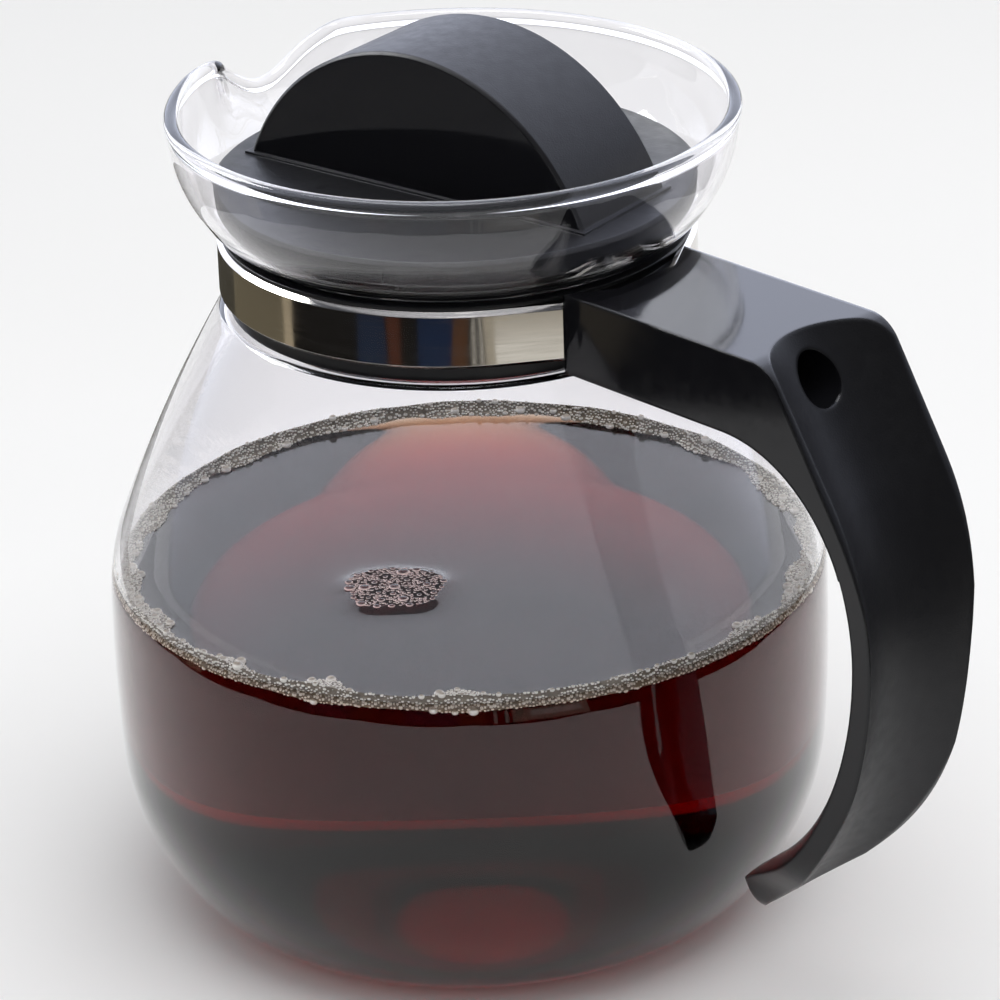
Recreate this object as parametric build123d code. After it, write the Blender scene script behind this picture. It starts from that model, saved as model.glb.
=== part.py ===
from build123d import *
from math import acos, cos, degrees, exp, radians, sin, sqrt, tan
import os

# A glass coffee jug with a clamped handle and a lid that drops into its mouth.
# Millimetres. The origin is on the jug's axis where it rests, +Z is up, +X points to the handle
# and the pouring lip is on the -X side.

# glass jug, outside outline from the base up
wall = 1.7
base_radius = 44.0
heel_radius = 21.6
heel_turn = 50.0
hip_radius = 46.5
hip_turn = 36.5
belly_radius = 366.0
belly_turn = 5.1
shoulder_radius = 45.0
shoulder_turn = 20.0
cone_radius = 333.0
cone_turn = 8.5
collar_radius = 2.0
ledge_width = 1.1
neck_fillet = 1.5
neck_length = 12.8
throat_radius = 1.5
throat_turn = 68.0
bowl_floor_radius = 12.0
bowl_floor_turn = 30.0
bowl_radius = 30.0

# mouth of the jug; above its root the pouring lip is drawn out of the round bowl
bowl_root_turn = 4.0
rim_above_root = 16.2
bead_radius = 1.45
spout_drop = 8.8
spout_drop_spread = 11.2
spout_reach = 2.3
spout_reach_spread = 24.0
pinch_depth = 1.7
pinch_angle = 17.0
pinch_spread = 4.4
pinch_rise = 1.0
lip_half_angle = 60.0
lip_step_angle = 4.0
lip_wall_steps = 4
join_tolerance = 0.0001

# soft liner and metal band in the neck's groove
fit_gap = 0.1
liner_wall = 3.0
liner_foot_width = 2.0
liner_foot_height = 2.9
liner_cap_width = 3.0
liner_cap_height = 0.8
band_thickness = 0.7
band_height = 11.6
band_edge_reach = 1.7
band_edge_bevel = 0.9
band_leave_angle = 34.0
ear_half_gap = 8.0
ear_length = 5.2
hook_length = 3.4

# handle, drawn by its side outline, its front outline and the gutter along its back
arm_length = 51.2
arm_half_width = 16.2
arm_over_band = 2.4
arm_height = 16.0
arm_inner_reach = 9.0
under_start_back = 11.8
under_radius = 29.0
under_turn = 75.0
knuckle_radius = 8.0
crest_slope = 58.5
crest_straight = 28.1
upper_bend_radius = 60.0
upper_bend_turn = 31.5
middle_bend_radius = 73.3
middle_bend_turn = 29.0
lower_bend_radius = 79.0
lower_bend_turn = 21.0
crest_tail = 14.4
width_starts_drop = 21.0
grip_half_width = 14.2
grip_width_drop = 50.0
waist_half_width = 13.9
waist_drop = 87.0
toe_half_width = 12.0
toe_drop = 104.5
toe_end_half_width = 5.2
toe_end_drop = 116.0
gutter_radius = 20.5
gutter_depth = 6.0
gutter_wall = 3.6
gutter_skew = 1.6
gutter_sweep_radius = 88.0
gutter_sweep_turn = 46.0
back_sweep_radius = 79.0
back_sweep_turn = 50.0
gutter_run_out = 40.0
tip_room_back = 26.0
tip_round_reach = 1.9
tip_round_middle = 6.0
tip_round_height = 13.5
tip_round_lean = 3.4
web_top_drop = 27.0
saddle_gap = 0.3
pocket_gap = 0.5
pocket_end_gap = 1.3
pocket_side_gap = 2.4

# clamp screw and the plate that it pulls
screw_thread = 4.0
screw_end_reach = 3.9
screw_seat_back = 16.0
screw_head_width = 7.6
screw_head_height = 2.8
screw_head_bevel = 0.7
screw_slot_width = 1.2
screw_slot_depth = 1.4
washer_thickness = 0.8
washer_width = 8.8
thread_gap = 0.1
bridge_thickness = 2.5
bridge_height = 9.0
bridge_side_gap = 0.4
access_bore = 9.6
shank_bore = 4.6

# lid, its grip turned a little from the line of the handle
lid_turn = 9.3
lid_rise = 10.85
lid_edge_height = 4.2
lid_gap = 0.5
lid_wall = 2.2
lid_edge_bevel = 0.7
arch_radius = 43.0
arch_height = 27.6
arch_thickness = 27.0
arch_bevel = 0.6
arch_foot_margin = 0.8
arch_foot_height = 0.5
skirt_gap = 1.0
skirt_depth = 8.85
skirt_wall = 1.8
skirt_clear = 0.5
lid_base_thickness = 2.0
lid_base_gap = 0.05


bowl_slope = 90 - throat_turn + bowl_floor_turn
mouth_root_drop = (bowl_radius - wall) * cos(radians(bowl_slope + bowl_root_turn))


def jug_line(inset):
    """Half outline of the glass, moved inward by inset; x is the radius and y the height."""
    line = [Line((0, inset), (base_radius, inset))]

    def bend(radius, turn):
        reach = radius - inset if turn > 0 else radius + inset
        line.append(JernArc(line[-1] @ 1, line[-1] % 1, reach, turn))

    def straight(length):
        line.append(Line(line[-1] @ 1, line[-1] @ 1 + (line[-1] % 1) * length))

    bend(heel_radius, heel_turn)
    bend(hip_radius, hip_turn)
    bend(belly_radius, belly_turn)
    bend(shoulder_radius, shoulder_turn)
    bend(cone_radius, cone_turn)
    so_far = heel_turn + hip_turn + belly_turn + shoulder_turn + cone_turn
    bend(collar_radius, 180 - so_far)
    straight(ledge_width)
    bend(neck_fillet, -90)
    straight(neck_length)
    bend(throat_radius, -throat_turn)
    bend(bowl_floor_radius, bowl_floor_turn)
    root_slope = degrees(acos(mouth_root_drop / (bowl_radius - inset)))
    bend(bowl_radius, root_slope - bowl_slope)
    return line


outside = jug_line(0)
neck_radius = (outside[9] @ 0).X
ledge_z = (outside[7] @ 0).Y
neck_top_z = (outside[9] @ 1).Y
root_z = (outside[-1] @ 1).Y
bowl_centre_z = root_z + mouth_root_drop
bowl_centre_x = (outside[-1] @ 1).X - sqrt(bowl_radius ** 2 - mouth_root_drop ** 2)
rim_z = root_z + rim_above_root

band_inner_radius = neck_radius + liner_wall + 2 * fit_gap
band_radius = band_inner_radius + band_thickness
band_low_z = ledge_z + liner_foot_height
band_top_z = band_low_z + band_height
screw_z = (band_low_z + band_top_z) / 2
leave = radians(band_leave_angle)
ear_x = (band_radius - ear_half_gap * sin(leave)) / cos(leave)
hook_x = ear_x + ear_length
bridge_x = hook_x - band_thickness - fit_gap
screw_start_x = bridge_x - bridge_thickness - screw_end_reach

arm_top_z = band_top_z + arm_over_band
arm_start_x = band_radius - arm_inner_reach
knuckle_x = band_radius + arm_length
pocket_end_x = hook_x + pocket_end_gap
screw_seat_x = knuckle_x - screw_seat_back

lid_top_z = neck_top_z + lid_rise
lid_low_z = lid_top_z - lid_edge_height
bowl_reach = sqrt((bowl_radius - wall) ** 2 - (bowl_centre_z - lid_low_z) ** 2)
lid_radius = bowl_centre_x + bowl_reach - lid_gap
skirt_radius = neck_radius - wall - skirt_gap
skirt_bottom_z = neck_top_z - skirt_depth


def hump(angle, spread):
    return exp(-((angle / spread) ** 2))


def pinches(angle):
    """Both sides of the pouring lip, where the glass is squeezed in."""
    return hump(angle - pinch_angle, pinch_spread) + hump(angle + pinch_angle, pinch_spread)


def lip_reach(angle):
    """How far the rim stands out at an angle measured from the middle of the pouring lip."""
    return spout_reach * hump(angle, spout_reach_spread) - pinch_depth * pinches(angle)


def lip_height(angle):
    """Height of the rim's bead at an angle measured from the middle of the pouring lip."""
    return rim_z - spout_drop * hump(angle, spout_drop_spread) + pinch_rise * pinches(angle)


def mouth_section(angle):
    """Wall and bead of the mouth in the upright plane at an angle from the middle of the lip."""
    reach = lip_reach(angle) if abs(angle) < lip_half_angle else 0.0
    bead_z = lip_height(angle) if abs(angle) < lip_half_angle else rim_z
    neck_down = sqrt(bead_radius ** 2 - (wall / 2) ** 2)

    def side(inset):
        points = []
        for step in range(lip_wall_steps + 1):
            share = step / lip_wall_steps
            blend = share * share * (3 - 2 * share)
            down = mouth_root_drop * (1 - share)
            radius = bowl_centre_x + sqrt((bowl_radius - inset) ** 2 - down ** 2) + blend * reach
            points.append((radius, root_z + share * (bead_z - neck_down - root_z)))
        return Spline(*points)

    outer = side(0)
    inner = side(wall)
    crown = ((outer @ 1).X - wall / 2, bead_z + bead_radius)
    bead = ThreePointArc(outer @ 1, crown, inner @ 1)
    root = Line(inner @ 0, outer @ 0)
    turn = radians(180 - angle)
    plane = Plane(origin=(0, 0, 0), x_dir=(cos(turn), sin(turn), 0), z_dir=(sin(turn), -cos(turn), 0))
    return plane * make_face([root, outer, bead, inner])


def mouth_parts():
    """The lip is lofted through upright sections; the rest of the mouth is turned."""
    steps = round(lip_half_angle / lip_step_angle)
    sections = [mouth_section(step * lip_step_angle) for step in range(-steps, steps + 1)]
    round_part = revolve(sections[-1], axis=-Axis.Z, revolution_arc=360 - 2 * lip_half_angle)
    return loft(sections), round_part


def make_glass_jug():
    inside = jug_line(wall)
    close_axis = Line(outside[0] @ 0, inside[0] @ 0)
    close_root = Line(outside[-1] @ 1, inside[-1] @ 1)
    section = make_face(outside + inside + [close_axis, close_root])
    body = revolve(Plane.XZ * section, axis=Axis.Z)
    lip, round_part = mouth_parts()
    return body.fuse(lip, round_part, glue=True, tol=join_tolerance)


def ring_of(corners):
    """A ring turned about +Z from the corners of its section, radius first and height second."""
    return revolve(Plane.XZ * make_face(Polyline(*corners, close=True)), axis=Axis.Z)


def make_neck_liner():
    inner = neck_radius + fit_gap
    outer = inner + liner_wall
    foot_radius = inner + liner_foot_width
    cap_radius = inner + liner_cap_width
    foot_z = ledge_z + fit_gap
    low = band_low_z + band_thickness + band_edge_bevel
    high = band_top_z - band_thickness - band_edge_bevel
    cap_low = band_top_z + fit_gap
    cap_high = cap_low + liner_cap_height
    return ring_of([
        (inner + neck_fillet, foot_z),
        (foot_radius, foot_z),
        (foot_radius, low),
        (outer, low),
        (outer, high),
        (foot_radius, high),
        (foot_radius, cap_low),
        (cap_radius, cap_low),
        (cap_radius, cap_high),
        (inner + neck_fillet / 2, cap_high),
        (inner, neck_top_z),
        (inner, ledge_z + neck_fillet + fit_gap),
    ])


def band_section():
    """Section of the strap, x outward from the band's outer face and y up from its middle."""
    shell = Rectangle(band_edge_reach, band_height, align=(Align.MAX, Align.CENTER))
    shell = chamfer(shell.vertices().group_by(Axis.X)[-1], band_edge_bevel)
    hollow = Pos(-band_thickness, 0) * Rectangle(
        band_edge_reach, band_height - 2 * band_thickness, align=(Align.MAX, Align.CENTER)
    )
    hollow = chamfer(hollow.vertices().group_by(Axis.X)[-1], band_edge_bevel - band_thickness / 2)
    return shell - hollow


def make_clamp_band():
    """Rolled strap: most of a ring, two straight runs and two ears with hooked ends."""
    section = Pos(band_radius, 0) * band_section()
    start = Plane(
        origin=(0, 0, screw_z), x_dir=(cos(leave), sin(leave), 0), z_dir=(sin(leave), -cos(leave), 0)
    )
    ring = revolve(start * section, axis=Axis.Z, revolution_arc=2 * (180 - band_leave_angle))
    run_end = (band_radius * sin(leave) - ear_half_gap + band_thickness / 2) / cos(leave)
    run = extrude(start * section, amount=run_end)
    ear = Pos(ear_x - band_thickness, ear_half_gap, screw_z) * Box(
        ear_length + band_thickness, band_thickness, band_height, align=(Align.MIN, Align.MAX, Align.CENTER)
    )
    hook = Pos(hook_x, ear_half_gap, screw_z) * Box(
        band_thickness, hook_length, band_height, align=(Align.MAX, Align.MAX, Align.CENTER)
    )
    half = run + ear + hook
    return ring + half + mirror(half, about=Plane.XZ)


def line_with_bends(start, direction, first_run, bends, last_run):
    """A straight run, bends to the right given as radius and turn, and a straight run."""
    line = [Line(start, start + direction * first_run)]
    for radius, turn in bends:
        line.append(JernArc(line[-1] @ 1, line[-1] % 1, radius, -turn))
    line.append(Line(line[-1] @ 1, line[-1] @ 1 + (line[-1] % 1) * last_run))
    return line


def crest_line():
    """Outer edge of the handle seen from the side, from the rounded knuckle to the tip."""
    back = knuckle_radius * tan(radians(crest_slope) / 2)
    knuckle = JernArc((knuckle_x - back, arm_top_z), (1, 0), knuckle_radius, -crest_slope)
    bends = [
        (upper_bend_radius, upper_bend_turn),
        (middle_bend_radius, middle_bend_turn),
        (lower_bend_radius, lower_bend_turn),
    ]
    rest = line_with_bends(knuckle @ 1, knuckle % 1, crest_straight - back, bends, crest_tail)
    return [knuckle] + rest


def gutter_pipe(radius, sweep_radius, sweep_turn):
    """Round bar outside the crest, at the gutter's centre; its last sweep may draw away at the tip."""
    centre_out = gutter_radius - gutter_depth
    slope = radians(crest_slope)
    heading = radians(crest_slope - gutter_skew)
    bend_start = Vector(knuckle_x, arm_top_z) + Vector(cos(slope), -sin(slope)) * crest_straight
    bend_centre = bend_start - Vector(sin(slope), cos(slope)) * upper_bend_radius
    bends = [
        (upper_bend_radius + centre_out, upper_bend_turn + gutter_skew),
        (sweep_radius + centre_out, sweep_turn),
    ]
    run = gutter_run_out + crest_straight
    direction = Vector(cos(heading), -sin(heading))
    start = bend_centre + Vector(sin(heading), cos(heading)) * (upper_bend_radius + centre_out) - direction * run
    line = line_with_bends(start, direction, run, bends, crest_tail + gutter_run_out)
    path = Plane.XZ * Wire(line)
    section = Plane(origin=path @ 0, z_dir=path % 0) * Circle(radius)
    return sweep(section, path=path)


def upright_slab(lines, half_width):
    """A face drawn in the upright plane through the handle, made into a slab."""
    return extrude(Plane.XZ * make_face(lines), amount=half_width, both=True)


def arm_and_web():
    low = arm_top_z - arm_height
    under_start_x = knuckle_x - under_start_back
    arc = JernArc((under_start_x, low), (1, 0), under_radius, -under_turn)
    far = knuckle_x + crest_straight
    corners = Polyline(arc @ 1, (far, (arc @ 1).Y), (far, arm_top_z), (arm_start_x, arm_top_z),
                       (arm_start_x, low), (under_start_x, low))
    return upright_slab([arc, corners], arm_half_width)


def inside_crest():
    """Slab that holds the handle's side view, on the jug's side of the crest."""
    crest = crest_line()
    start = crest[0] @ 0
    end = crest[-1] @ 1
    room_x = knuckle_x - tip_room_back
    web_top_z = arm_top_z - web_top_drop
    tip_top = (end.X + tip_round_lean, end.Y + tip_round_height)
    tip = ThreePointArc((end.X, end.Y), (end.X - tip_round_reach, end.Y + tip_round_middle), tip_top)
    back = Polyline(tip_top, (room_x, tip_top[1]), (room_x, web_top_z), (arm_start_x, web_top_z),
                    (arm_start_x, arm_top_z), (start.X, start.Y))
    return upright_slab(crest + [tip, back], 2 * arm_half_width)


def front_outline():
    """Width of the handle seen along the arm, narrowing to a rounded tip."""
    end_z = (crest_line()[-1] @ 1).Y
    widths = [
        (arm_half_width, arm_top_z - width_starts_drop),
        (grip_half_width, arm_top_z - grip_width_drop),
        (waist_half_width, arm_top_z - waist_drop),
        (toe_half_width, arm_top_z - toe_drop),
        (toe_end_half_width, arm_top_z - toe_end_drop),
        (0, end_z),
    ]
    right = Spline(*widths, tangents=[(0, -1), (-1, 0)])
    left = mirror(right, about=Plane.YZ)
    top = Polyline(right @ 0, (arm_half_width, arm_top_z), (-arm_half_width, arm_top_z), left @ 0)
    face = make_face([right, top, left])
    return extrude(Plane.YZ * face, amount=2 * knuckle_x)


def band_clearance():
    """Room for the band and its straight runs, cut into the end of the arm."""
    radius = band_radius + saddle_gap
    far = (radius - ear_half_gap * sin(leave)) / cos(leave)
    corners = [
        (radius * cos(leave), radius * sin(leave)),
        (far, ear_half_gap),
        (far, -ear_half_gap),
        (radius * cos(leave), -radius * sin(leave)),
        (0, 0),
    ]
    outline = Circle(radius) + make_face(Polyline(*corners, close=True))
    return extrude(outline, amount=2 * arm_top_z)


def make_handle():
    back = gutter_pipe(gutter_radius + gutter_wall, back_sweep_radius, back_sweep_turn)
    body = arm_and_web() + back
    body = body & inside_crest()
    body = body & front_outline()
    body = body - gutter_pipe(gutter_radius, gutter_sweep_radius, gutter_sweep_turn)
    body = body - band_clearance()
    pocket = Pos(arm_start_x, 0, screw_z) * Box(
        pocket_end_x - arm_start_x, 2 * (ear_half_gap + pocket_side_gap), band_height + 2 * pocket_gap,
        align=(Align.MIN, Align.CENTER, Align.CENTER),
    )
    shank = along_x(shank_bore / 2, pocket_end_x, screw_seat_x)
    access = along_x(access_bore / 2, screw_seat_x, knuckle_x + crest_straight)
    return body - pocket - shank - access


def along_x(radius, start, end):
    """A round bar on the clamp screw's axis from one x to another."""
    return extrude(Plane(origin=(start, 0, screw_z), z_dir=(1, 0, 0)) * Circle(radius), amount=end - start)


def make_clamp_bridge():
    plate = Pos(bridge_x, 0, screw_z) * Box(
        bridge_thickness, 2 * (ear_half_gap - band_thickness - bridge_side_gap), bridge_height,
        align=(Align.MAX, Align.CENTER, Align.CENTER),
    )
    return plate - along_x(screw_thread / 2 + thread_gap, screw_start_x, screw_seat_x)


def make_clamp_screw():
    head_x = screw_seat_x + washer_thickness
    top_x = head_x + screw_head_height
    shank = along_x(screw_thread / 2, screw_start_x, head_x)
    head = along_x(screw_head_width / 2, head_x, top_x)
    head = chamfer(head.edges().group_by(Axis.X)[-1], screw_head_bevel)
    slot = Pos(top_x, 0, screw_z) * Box(
        screw_slot_depth, screw_slot_width, screw_head_width, align=(Align.MAX, Align.CENTER, Align.CENTER)
    )
    return shank + head - slot


def make_screw_washer():
    disc = along_x(washer_width / 2, screw_seat_x, screw_seat_x + washer_thickness)
    return disc - along_x(screw_thread / 2 + thread_gap, pocket_end_x, knuckle_x)


def half_round(radius, thickness, low_z):
    """Part of a disc that stands upright on the lid, above a given height."""
    centre_z = lid_top_z + arch_height - arch_radius
    disc = extrude(Plane(origin=(0, 0, centre_z), z_dir=(0, 1, 0)) * Circle(radius), amount=thickness / 2, both=True)
    keep = Pos(0, 0, low_z) * Box(
        2 * radius, 2 * thickness, 2 * radius, align=(Align.CENTER, Align.CENTER, Align.MIN)
    )
    return disc & keep


def upright_disc(radius, low_z, high_z):
    return Pos(0, 0, low_z) * Cylinder(radius, high_z - low_z, align=(Align.CENTER, Align.CENTER, Align.MIN))


def make_lid_top():
    plate = upright_disc(lid_radius, lid_low_z, lid_top_z)
    plate = chamfer(plate.edges().group_by(Axis.Z)[-1], lid_edge_bevel)
    under = upright_disc(lid_radius - lid_wall, lid_low_z, lid_top_z - lid_wall)
    arch = half_round(arch_radius, arch_thickness, lid_top_z - lid_wall)
    arch = chamfer(arch.edges().filter_by(GeomType.CIRCLE), arch_bevel)
    foot_half = sqrt(arch_radius ** 2 - (arch_radius - arch_height) ** 2) + arch_foot_margin
    foot = Pos(0, 0, lid_top_z) * Box(
        2 * foot_half, arch_thickness + 2 * arch_foot_margin, arch_foot_height,
        align=(Align.CENTER, Align.CENTER, Align.MIN),
    )
    hollow = half_round(arch_radius - lid_wall, arch_thickness - 2 * lid_wall, lid_top_z - 2 * lid_wall)
    hollow = hollow & upright_disc(skirt_radius - skirt_wall - skirt_clear, skirt_bottom_z, 2 * lid_top_z)
    skirt = upright_disc(skirt_radius, skirt_bottom_z, lid_top_z - lid_wall)
    skirt = skirt - upright_disc(skirt_radius - skirt_wall, skirt_bottom_z, lid_top_z - lid_wall)
    body = (plate - under) + skirt + arch + foot - hollow
    return Rot(0, 0, lid_turn) * body


def make_lid_base():
    return upright_disc(skirt_radius - skirt_wall - lid_base_gap, skirt_bottom_z, skirt_bottom_z + lid_base_thickness)


def main():
    os.makedirs("parts", exist_ok=True)
    nodes = {
        "glass_jug": make_glass_jug,
        "neck_liner": make_neck_liner,
        "clamp_band": make_clamp_band,
        "handle": make_handle,
        "clamp_bridge": make_clamp_bridge,
        "clamp_screw": make_clamp_screw,
        "screw_washer": make_screw_washer,
        "lid_top": make_lid_top,
        "lid_base": make_lid_base,
    }
    for node, make in nodes.items():
        export_step(make(), "parts/" + node + ".step")


if __name__ == "__main__":
    main()
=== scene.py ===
"""A glass coffee jug with a clamped handle and a drop-in lid, part filled with coffee.

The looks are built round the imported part, in metres and in the part's own frame.
"""
import math
import random

import bpy
from mathutils import Matrix, Vector


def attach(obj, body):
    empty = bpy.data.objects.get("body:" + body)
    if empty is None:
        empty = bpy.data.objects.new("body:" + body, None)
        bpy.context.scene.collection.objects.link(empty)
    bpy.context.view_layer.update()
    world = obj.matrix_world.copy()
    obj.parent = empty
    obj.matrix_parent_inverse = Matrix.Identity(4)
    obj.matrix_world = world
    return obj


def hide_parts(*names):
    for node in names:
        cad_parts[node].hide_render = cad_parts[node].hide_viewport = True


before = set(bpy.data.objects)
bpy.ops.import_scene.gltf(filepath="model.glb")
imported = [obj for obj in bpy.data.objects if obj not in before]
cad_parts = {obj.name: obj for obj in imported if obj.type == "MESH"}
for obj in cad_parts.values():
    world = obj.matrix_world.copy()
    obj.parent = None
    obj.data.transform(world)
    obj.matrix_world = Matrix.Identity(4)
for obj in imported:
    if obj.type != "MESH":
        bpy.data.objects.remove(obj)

bl_info = {
    "name": "Coffee jug looks",
    "version": (1, 0, 0),
    "blender": (4, 5, 0),
    "location": "View3D > Sidebar > Jug",
    "description": "Builds the glass, coffee, foam, mouldings and stage of a coffee jug",
    "category": "Object",
}

MM = 0.001


# Settings

def linear(hex_colour):
    """An sRGB hex colour as linear RGBA."""
    values = []
    for start in (0, 2, 4):
        share = int(hex_colour[start:start + 2], 16) / 255
        values.append(share / 12.92 if share <= 0.04045 else ((share + 0.055) / 1.055) ** 2.4)
    return (*values, 1.0)


class JugSettings(bpy.types.PropertyGroup):
    coffee_level: bpy.props.FloatProperty(
        name="Coffee level", description="Height of the coffee's surface above the table",
        default=0.072, min=0.02, max=0.11, unit="LENGTH")
    coffee_colour: bpy.props.FloatVectorProperty(
        name="Coffee colour", description="Colour of the light that a thin layer of coffee lets through",
        default=linear("EDAA00")[:3], min=0.0, max=1.0, size=3, subtype="COLOR")
    foam_size: bpy.props.FloatProperty(
        name="Largest bubble", description="Radius of the largest bubble in the foam ring",
        default=0.0011, min=0.0004, max=0.003, unit="LENGTH")
    moulding_colour: bpy.props.FloatVectorProperty(
        name="Moulding colour", description="Colour of the grained faces of the handle and lid",
        default=linear("141417")[:3], min=0.0, max=1.0, size=3, subtype="COLOR")
    camera_distance: bpy.props.FloatProperty(
        name="Camera distance", description="Level distance of the camera from the jug's axis",
        default=0.8826, min=0.3, max=3.0, unit="LENGTH")


def settings():
    return bpy.context.scene.jug_settings


# Glass outline: each run has a length in mm, each bend a radius in mm and a turn in degrees

GLASS_OUTLINE = (
    ("foot", 44.0),
    ("heel", 21.6, 50.0),
    ("lower belly", 46.5, 36.5),
    ("side", 366.0, 5.1),
    ("upper belly", 45.0, 20.0),
    ("shoulder", 333.0, 8.5),
    ("shoulder edge", 2.0, 59.9),
    ("ledge", 1.1),
    ("neck root", 1.5, -90.0),
    ("neck", 12.8),
    ("neck top", 1.5, -68.0),
    ("throat", 12.0, 30.0),
)

# Glass sizes in millimetres and degrees

WALL = 1.7
BOWL_RADIUS = 30.0
BOWL_SLOPE = 52.0
ROOT_TURN = 4.0
RIM_ABOVE_ROOT = 16.2
BEAD = 1.45
LIP_DROP = 8.8
LIP_SPREAD = 11.2
LIP_REACH = 2.3
REACH_SPREAD = 24.0
PINCH_IN = 1.7
PINCH_ANGLE = 17.0
PINCH_SPREAD = 4.4

# How finely the glass and coffee are drawn

SEGMENTS = 288
RUN_STEP = 4.0
BEND_STEP = 1.2
LEAST_BEND_STEPS = 4
WALL_STEPS = 14
BEAD_STEPS = 14
POLE_RADIUS = 0.5

# Coffee's surface in millimetres: it lies a little inside the glass and climbs its wall

INTO_GLASS = 0.2
MENISCUS_CLIMB = 1.3
MENISCUS_FADE = 1.4
BELOW_EDGE = 0.3
OFF_AXIS = 0.4
FIRST_RING_IN = 0.05
LAST_RING_RADIUS = 1.0
FIRST_STEP, STEP_GROWTH, LARGEST_STEP = 0.3, 0.15, 0.9

# Ring of foam along the glass, in millimetres

RING_INSET = 0.5
RING_WIDTH = 4.0
RING_LIFT = 2.0
RING_SEED = 5
RING_WAVES = 14
WAVE_TURNS, WAVE_SIZES, WAVE_DIVISOR = (3, 40), (0.2, 1.0), 6
RING_POINTS = 720
RING_MEAN_SHARE, RING_FRONT_SHARE = 0.78, 0.22
RING_WAVE_SHARE, RING_LEAST_SHARE = 1.1, 0.3
RING_EDGE_HEIGHT, RING_TOP_HEIGHT, RING_FOOT_DEPTH = 0.2, 0.6, 0.5
RING_SHOULDER_HEIGHT, RING_SHOULDER_IN, RING_SHOULDER_LIFT = 0.5, 0.35, 0.3
RING_TOP_WAVE, RING_FOOT_WAVE = 0.2, 0.4

# Loose raft of foam, an oval on the coffee, in millimetres

RAFT_CENTRE = Vector((2.8, -22.6, 0.0))
RAFT_ALONG = Vector((0.693, 0.72, 0.0))
RAFT_ACROSS = Vector((-0.72, 0.693, 0.0))
RAFT_LENGTH, RAFT_WIDTH = 9.9, 9.2
RAFT_RISE = 0.8
RAFT_RISE_FADE = 1.5
RAFT_RIPPLE, RAFT_RIPPLE_PHASE, RAFT_SQUARENESS = 0.03, 0.6, 0.04
RAFT_GROUND_SHARE = 0.96
RAFT_POINTS = 48

# Bubbles of the ring and the raft, in metres

RING_BUBBLES = {
    "Spacing": 0.00056, "Large spacing": 0.0034, "Small radius": 0.00024, "Middle radius": 0.00044,
    "Flatness": 0.8, "Seed": 3,
}
RAFT_BUBBLES = {
    "Spacing": 0.0006, "Large spacing": 0.0027, "Small radius": 0.00032, "Middle radius": 0.00048,
    "Large radius": 0.0014, "Flatness": 0.3, "Seed": 8,
}
LEAST_FACES = 100

# Edges of the carried-over nodes and turn of the lid's grip, in millimetres and degrees

GRIP_TURN = 9.3
EDGE_WIDTHS = {"handle": 0.9, "lid_top": 0.5, "neck_liner": 0.2, "clamp_band": 0.12}
EDGE_ANGLE = 32.0
EDGE_SEGMENTS = 3
WELD_DISTANCE = 0.002
FLAT_WEIGHT = 90

# Camera, in metres and degrees, and its lens in millimetres

CAMERA_HEIGHT = 0.4865
CAMERA_TURN = 47.3
YAW, PITCH, ROLL = 0.4286, 24.576, -1.868
LENS, SENSOR_WIDTH = 175.05, 36.0
NEAR_CLIP, FAR_CLIP = 0.05, 20.0


# Helpers for nodes

def fill(tree, node, inputs):
    """Sets a node's inputs by name or place; a socket given as a value is linked."""
    for key, value in inputs.items():
        if isinstance(value, bpy.types.NodeSocket):
            tree.links.new(value, node.inputs[key])
        else:
            node.inputs[key].default_value = value


def add(tree, kind, inputs=None, **properties):
    """Adds a node with its properties, values and links."""
    node = tree.nodes.new(kind)
    for key, value in properties.items():
        setattr(node, key, value)
    fill(tree, node, inputs or {})
    return node


def new_material(name):
    """A material with its node tree and its Principled shader."""
    material = bpy.data.materials.new(name)
    material.use_nodes = True
    tree = material.node_tree
    shader = next(node for node in tree.nodes if node.type == "BSDF_PRINCIPLED")
    return material, tree, shader


# Patterns, all in the piece's own coordinates

def patches(tree, size_mm, detail, place=None):
    """Soft patches about size_mm across, mostly between 0.3 and 0.7."""
    if place is None:
        place = add(tree, "ShaderNodeTexCoord").outputs["Object"]
    return add(tree, "ShaderNodeTexNoise", {
        "Vector": place, "Scale": 1000.0 / size_mm, "Detail": detail,
    }).outputs["Fac"]


def wandering(tree, low, high, size_mm, detail, place=None):
    """A value that wanders between two levels from patch to patch."""
    return add(tree, "ShaderNodeMapRange", {
        "Value": patches(tree, size_mm, detail, place), "From Min": 0.3, "From Max": 0.7,
        "To Min": low, "To Max": high,
    }).outputs["Result"]


def above_coffee(tree, start, end):
    """0 to 1 as the height passes from start to end, both measured from the coffee's level."""
    place = add(tree, "ShaderNodeTexCoord").outputs["Object"]
    level = settings().coffee_level
    return add(tree, "ShaderNodeMapRange", {
        "Value": add(tree, "ShaderNodeSeparateXYZ", {"Vector": place}).outputs["Z"],
        "From Min": level + start, "From Max": level + end,
    }).outputs["Result"]


def facing(tree, direction, low, high, both_ways=False):
    """0 to 1 as the surface turns to face a direction."""
    normal = add(tree, "ShaderNodeNewGeometry").outputs["Normal"]
    dot = add(tree, "ShaderNodeVectorMath", {0: normal, 1: direction},
              operation="DOT_PRODUCT").outputs["Value"]
    if both_ways:
        dot = add(tree, "ShaderNodeMath", {0: dot}, operation="ABSOLUTE").outputs[0]
    return add(tree, "ShaderNodeMapRange", {
        "Value": dot, "From Min": low, "From Max": high,
    }, interpolation_type="SMOOTHSTEP").outputs["Result"]


def handle_grain(tree):
    """The handle is grained where it faces outwards, along +X."""
    return facing(tree, (1, 0, 0), 0.25, 0.4)


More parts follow.
